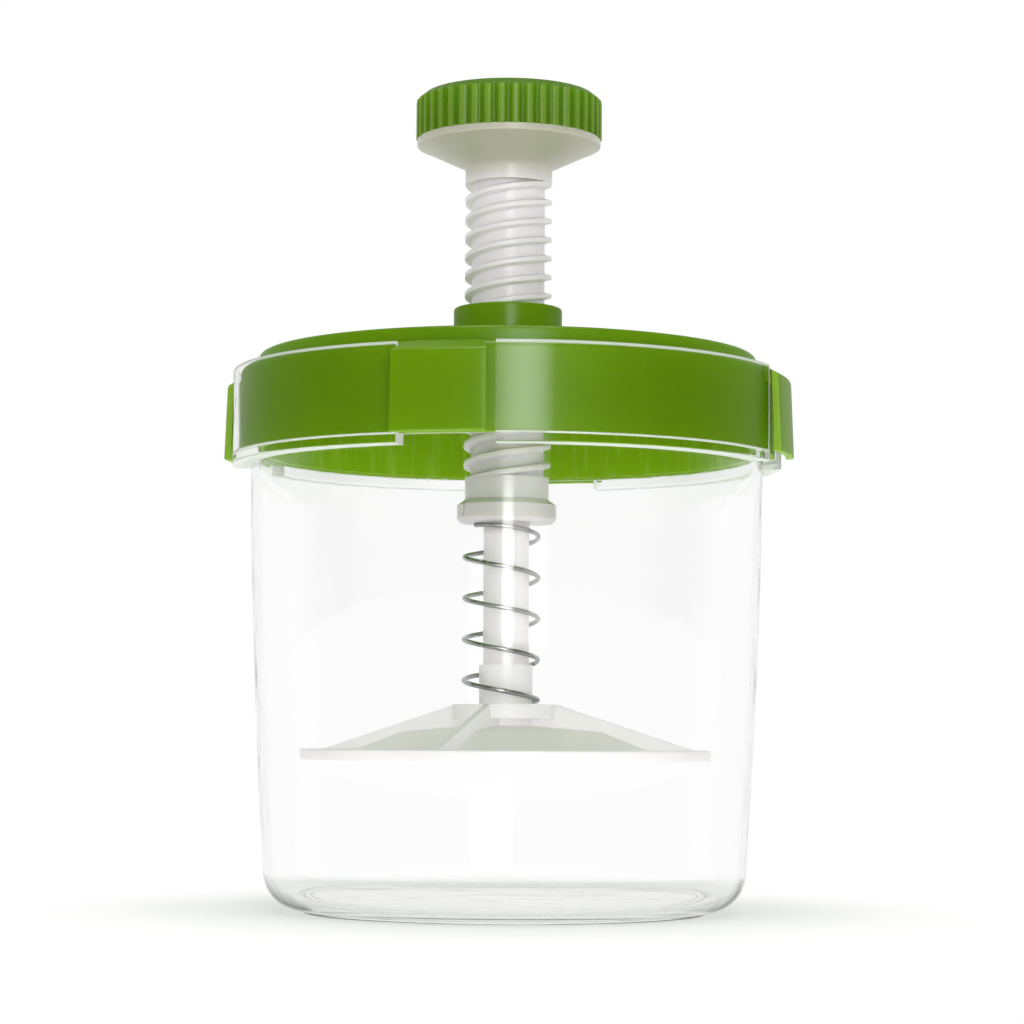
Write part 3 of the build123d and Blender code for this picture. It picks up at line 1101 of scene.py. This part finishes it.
@dataclass
class PressScrew:
    """White hollow screw: tail, double-start thread, plain neck, flared head and the cap's spigot."""

    bore: float = 8.3
    tail: float = 10.3
    tail_foot: float = 111.2
    thread_foot: float = 122.4
    thread_top: float = 206.8
    root: float = 10.4
    crest: float = 12.4
    lead: float = 10.8
    starts: int = 2
    crest_height: float = 201.8
    crest_angle: float = 13.2
    neck_top: float = 211.4
    head: float = 26.3
    head_foot: float = 217.7
    cap_foot: float = 219.7
    spigot: float = 24.0
    spigot_top: float = 226.2
    wall: float = 2.0
    bore_joint: float = 132.4
    columns: int = 96
    ridge: tuple = (
        (0.0, 0.0), (1.30, 0.0), (1.52, 0.03), (1.66, 0.16), (2.04, 0.90), (2.13, 0.985), (2.26, 1.0),
        (3.14, 1.0), (3.27, 0.985), (3.36, 0.90), (3.74, 0.16), (3.88, 0.03), (4.10, 0.0),
    )

    def radius_at(self, along: float) -> float:
        """The thread's radius.

        Args:
            along: Height within one ridge's spacing.

        Returns:
            The radius.
        """
        spacing = self.lead / self.starts
        along %= spacing
        table = [*self.ridge, (spacing, 0.0)]
        for (low, first), (high, second) in zip(table, table[1:]):
            if along <= high:
                share = first + (second - first) * (along - low) / (high - low)
                return self.root + (self.crest - self.root) * share
        return self.root

    def add_thread(self, shell: Shell) -> tuple[Ring, Ring]:
        """Adds the thread along its helix.

        Args:
            shell: The screw's mesh.

        Returns:
            The rings at its foot and top.
        """
        spacing = self.lead / self.starts
        start = self.crest_height - spacing / 2 - self.lead * self.crest_angle / 360
        low_ridge = math.floor((self.thread_foot - self.lead - start) / spacing) - 1
        high_ridge = math.ceil((self.thread_top - start) / spacing) + 1
        heights = [
            start + ridge * spacing + along for ridge in range(low_ridge, high_ridge) for along, _ in self.ridge
        ]
        foot_ring: Ring = []
        top_ring: Ring = []
        columns: list[Ring] = []
        for i, angle in enumerate(turns(self.columns)):
            rise = self.lead * i / self.columns
            for ring, end in ((foot_ring, self.thread_foot), (top_ring, self.thread_top)):
                ring.append(shell.point(angle, self.radius_at(end - rise - start), end))
            column = []
            for height in heights:
                real = height + rise
                if real <= self.thread_foot:
                    column.append(foot_ring[-1])
                elif real >= self.thread_top:
                    column.append(top_ring[-1])
                else:
                    column.append(shell.point(angle, self.radius_at(height - start), real))
            columns.append(column)
        shift = len(self.ridge) * self.starts
        for i in range(self.columns):
            first = columns[i]
            if i + 1 < self.columns:
                second = columns[i + 1]
            else:
                second = columns[0][shift:] + [top_ring[0]] * shift
            for j in range(len(first) - 1):
                shell.face(first[j], second[j], second[j + 1], first[j + 1])
        return foot_ring, top_ring

    def build(self) -> None:
        """Builds the screw."""
        shell = Shell()
        angles = turns(self.columns)
        foot_ring, top_ring = self.add_thread(shell)
        low = outline(
            Corner(self.bore, self.bore_joint),
            Corner(self.bore, self.tail_foot, 0.3),
            Corner(self.tail, self.tail_foot, 0.3),
            Corner(self.tail, self.thread_foot),
            closed=False,
        )
        high = outline(
            Corner(self.crest + 0.02, self.thread_top),
            Corner(self.crest, self.neck_top, 1.6),
            Corner(self.head - 0.9, self.head_foot - 0.15, 0.5),
            Corner(self.head, self.head_foot + 0.1, 0.4),
            Corner(self.head, self.cap_foot, 0.3),
            Corner(self.spigot, self.cap_foot, 0.2),
            Corner(self.spigot, self.spigot_top, 0.4),
            Corner(self.spigot - self.wall, self.spigot_top, 0.4),
            Corner(self.spigot - self.wall, self.head_foot, 1.2),
            Corner(self.bore + self.wall, self.neck_top + self.wall / 2, 1.0),
            Corner(self.bore, self.neck_top + self.wall / 2, 0.3),
            Corner(self.bore, self.bore_joint),
            closed=False,
        )
        low_rings = shell.rings(angles, low)
        high_rings = shell.rings(angles, high[:-1])
        shell.loft(*low_rings, foot_ring)
        shell.loft(top_ring, *high_rings, low_rings[0])
        settle(shell.piece("press_screw_thread", WHITE), Body.SCREW, Slot.WHITE, "press_screw")


@dataclass
class KnobCap:
    """Green cap with a fluted side and a chamfered crown."""

    radius: float = 26.6
    foot: float = 219.7
    inner: float = 24.03
    inner_top: float = 230.6
    flute_top: float = 230.6
    crown: float = 24.0
    top: float = 232.7
    flutes: int = 42
    flute_radius: float = 1.5
    flute_depth: float = 0.7
    flute_columns: int = 14
    edge_blend: float = 0.35
    blend_steps: int = 3
    crown_flat: float = 3.0

    def flute_reach(self, angle: float) -> float:
        """The side's radius where the flutes are fully cut.

        Args:
            angle: Angle about the axis in radians.

        Returns:
            The radius.
        """
        spacing = FULL_TURN / self.flutes
        within = (angle + spacing / 2) % spacing - spacing / 2
        centre = self.radius + self.flute_radius - self.flute_depth
        across = centre * math.sin(within)
        if abs(across) >= self.flute_radius:
            return self.radius
        return min(self.radius, centre * math.cos(within) - math.sqrt(self.flute_radius**2 - across**2))

    def build(self) -> None:
        """Builds the cap."""
        shell = Shell()
        angles = turns(self.flutes * self.flute_columns)
        steps = range(-self.blend_steps, self.blend_steps + 1)
        blend = [self.edge_blend * step / self.blend_steps / self.radius for step in steps]
        reaches = [sum(self.flute_reach(angle + turn) for turn in blend) / len(blend) for angle in angles]
        side = outline(
            Corner(self.inner, self.foot),
            Corner(self.radius, self.foot, 0.3),
            Corner(self.radius, self.flute_top, 0.5),
            Corner(self.crown, self.top, 0.8),
            Corner(self.crown - self.crown_flat, self.top),
            closed=False,
        )
        rings = []
        for radius, height in side:
            ring = [shell.point(angle, min(radius, reach), height) for angle, reach in zip(angles, reaches)]
            rings.append(ring)
        rings.append(shell.ring(angles, 0.0, self.top))
        shell.loft(*rings)
        ceiling = shell.rings(angles, [(0.0, self.inner_top), (self.inner, self.inner_top)])
        shell.loft(*ceiling, rings[0])
        settle(shell.piece("knob_cap_fluted", CAP, 28.0), Body.SCREW, Slot.GREEN, "knob_cap")


@dataclass
class Spring:
    """Left-handed wire spring whose end turns ease down to lie on their seats."""

    top: float = 109.3
    foot: float = 58.6
    wire: float = 0.675
    coil: float = 10.45
    shift: float = 1.4
    shift_angle: float = -166.9
    start: float = -121.8
    quarters: int = 18
    steps: int = 14
    sides: int = 14
    travel: float = 39.8

    def centre(self, quarter: float) -> Vector:
        """A point of the wire's line.

        Args:
            quarter: Quarter turns from the top end.

        Returns:
            The point in millimetres.
        """
        high, low = self.top - self.wire, self.foot + self.wire
        full = self.quarters - 1
        if quarter < 1:
            dropped = quarter**2 / 2
        elif quarter > self.quarters - 1:
            left = self.quarters - quarter
            dropped = full - left**2 / 2
        else:
            dropped = quarter - 0.5
        angle = math.radians(self.start + 90 * quarter)
        side = math.radians(self.shift_angle)
        x = self.coil * math.cos(angle) + self.shift * math.cos(side)
        y = self.coil * math.sin(angle) + self.shift * math.sin(side)
        return Vector((x, y, high - (high - low) * dropped / full))

    def build(self) -> None:
        """Builds the spring as one tube with capped ends."""
        shell = Shell()
        total = self.quarters * self.steps
        line = [self.centre(i / self.steps) for i in range(total + 1)]
        rings = []
        for i, point in enumerate(line):
            ahead = line[min(i + 1, total)] - line[max(i - 1, 0)]
            ahead.normalize()
            outward = Vector((point.x, point.y, 0)).normalized()
            outward = (outward - ahead * outward.dot(ahead)).normalized()
            across = ahead.cross(outward)
            ring = []
            for angle in turns(self.sides):
                offset = outward * math.cos(angle) + across * math.sin(angle)
                shell.points.append(tuple(point + offset * self.wire))
                ring.append(len(shell.points) - 1)
            rings.append(ring)
        shell.loft(*rings)
        shell.face(*reversed(rings[0]))
        shell.face(*rings[-1])
        piece = shell.piece("spring_wire", STEEL)
        settle(piece, Body.SPRING, Slot.STEEL, "spring")
        length = self.top - self.foot
        keep = (length - self.travel) / length
        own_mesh(piece)


@dataclass
class Studio:
    """White floor and backdrop, soft lamps and the camera."""

    azimuth: float = 13.2
    distance: float = 0.830
    eye: float = 0.0486
    aim: float = 0.1129
    lens: float = 103.0
    roll: float = 0.35
    shift_x: float = 0.0015
    floor_size: float = 12.0
    floor_colour: tuple = (0.86, 0.86, 0.86)
    floor_glow: float = 0.17
    floor_light: float = 0.60
    floor_near: float = 0.090
    floor_far: float = 0.150
    dark_gloss: float = 0.02
    room_light: float = 0.35
    backdrop_edge: float = 0.50
    backdrop_white: float = 0.84
    mirror_edge: float = -0.15
    mirror_white: float = 0.45
    lamp_aim: float = 0.12
    lamp_middle: float = 2.25
    # Each lamp's name, azimuth, elevation, distance, width and height, and power.
    lamps: tuple = (
        ("front box", 20.0, 8.0, 1.6, (0.68, 2.0), 11.5),
        ("top box", 13.0, 84.0, 1.5, (1.2, 1.2), 13.0),
        ("strip", 13.9, -2.0, 0.95, (0.09, 0.16), 0.6),
    )

    def world(self) -> None:
        """White where the camera, gloss and clear plastic look, and gentler as light."""
        world = bpy.data.worlds.new("white studio")
        bpy.context.scene.world = world
        graph = Graph(world)
        seen = graph.seen()
        glossy = graph.ray("Glossy")
        way = graph.add("ShaderNodeTexCoord", {}, {}, "Generated")
        a = math.radians(self.azimuth)
        ahead = (-math.sin(a), math.cos(a), 0.0)
        depth = graph.add("ShaderNodeVectorMath", {"operation": "DOT_PRODUCT"}, {0: way, 1: ahead}, "Value")
        white = depth.rise(self.backdrop_edge, self.backdrop_white)
        mirrored = self.dark_gloss + (1.0 - self.dark_gloss) * depth.rise(self.mirror_edge, self.mirror_white)
        light = self.room_light + (1.0 - self.room_light) * white
        strength = mirrored * glossy + (seen + light * (1.0 - seen)) * (1.0 - glossy)
        inputs = {"Color": (1.0, 1.0, 1.0, 1.0), "Strength": strength}
        graph.end("ShaderNodeOutputWorld", "Surface", graph.add("ShaderNodeBackground", {}, inputs))

    def floor(self) -> None:
        """A plain white floor that keeps the press's shadow."""
        half = self.floor_size / 2
        corners = [(-half, -half, 0), (half, -half, 0), (half, half, 0), (-half, half, 0)]
        mesh = bpy.data.meshes.new("studio_floor")
        mesh.from_pydata(corners, [], [(0, 1, 2, 3)])
        material = bpy.data.materials.new("studio floor")
        graph = Graph(material)
        seen = graph.seen()
        lit = graph.one_colour("Diffuse", self.floor_colour)
        shining = self.floor_light + seen * (self.floor_glow - self.floor_light)
        glow = graph.add("ShaderNodeEmission", {}, {"Strength": shining})
        near = graph.add("ShaderNodeAddShader", {}, {0: lit, 1: glow})
        white = graph.add("ShaderNodeEmission", {}, {})
        reach = graph.add("ShaderNodeVectorMath", {"operation": "LENGTH"}, {0: graph.place()}, "Value")
        away = ((reach - self.floor_near) / (self.floor_far - self.floor_near)).clamped()
        graph.end("ShaderNodeOutputMaterial", "Surface", graph.blend(seen * away, near, white))
        mesh.materials.append(material)
        floor = placed("studio_floor", mesh)

    def light(self) -> None:
        """Soft lamps round the press."""
        target = Vector((0, 0, self.lamp_aim))
        for name, azimuth, elevation, distance, size, power in self.lamps:
            a, e = math.radians(azimuth), math.radians(elevation)
            back = Vector((math.sin(a) * math.cos(e), -math.cos(a) * math.cos(e), math.sin(e)))
            lamp = bpy.data.lights.new(name, "AREA")
            lamp.shape = "RECTANGLE"
            lamp.size, lamp.size_y = size
            lamp.energy = power
            self.soften(lamp)
            holder = placed(name, lamp)
            holder.location = target + back * distance
            holder.rotation_mode = "QUATERNION"
            holder.rotation_quaternion = (-back).to_track_quat("-Z", "Y")

    def soften(self, lamp: bpy.types.Light) -> None:
        """Lets a lamp fade towards its edges.

        Args:
            lamp: The lamp.
        """
        graph = Graph(lamp)
        across, along, _ = graph.axes(graph.add("ShaderNodeNewGeometry", {}, {}, "Parametric"))
        fade = (across * (1.0 - across) * 4.0) * (along * (1.0 - along) * 4.0).clamped()
        shine = graph.add("ShaderNodeEmission", {}, {"Strength": fade * self.lamp_middle})
        graph.end("ShaderNodeOutputLight", "Surface", shine)

    def camera(self) -> None:
        """The camera at the photograph's angle."""
        a = math.radians(self.azimuth)
        place = Vector((math.sin(a) * self.distance, -math.cos(a) * self.distance, self.eye))
        right = Vector((math.cos(a), math.sin(a), 0))
        target = Vector((0, 0, self.aim)) + right * self.shift_x
        cam = bpy.data.cameras.new("camera")
        cam.lens = self.lens
        cam.sensor_width = 36.0
        cam.clip_start, cam.clip_end = 0.05, 50.0
        holder = placed("camera", cam)
        holder.location = place
        holder.rotation_mode = "QUATERNION"
        looking = (target - place).to_track_quat("-Z", "Y")
        holder.rotation_quaternion = looking @ Quaternion((0, 0, 1), math.radians(self.roll))
        bpy.context.scene.camera = holder

    def build(self) -> None:
        """Sets up the whole studio."""
        self.world()
        self.floor()
        self.light()
        self.camera()
        bpy.context.scene.view_settings.view_transform = "Standard"


def main() -> None:
    """Builds the press and the studio."""
    logging.basicConfig(level=logging.INFO, format="%(message)s")
    for part in (Container(), Lid(), PressScrew(), KnobCap(), Spring()):
        part.build()
    dress_node("stop_collar", WHITE)
    dress_node("plunger_rod", WHITE)
    dress_node("press_plate", MILKY)
    Studio().build()


if __name__ == "__main__":
    main()
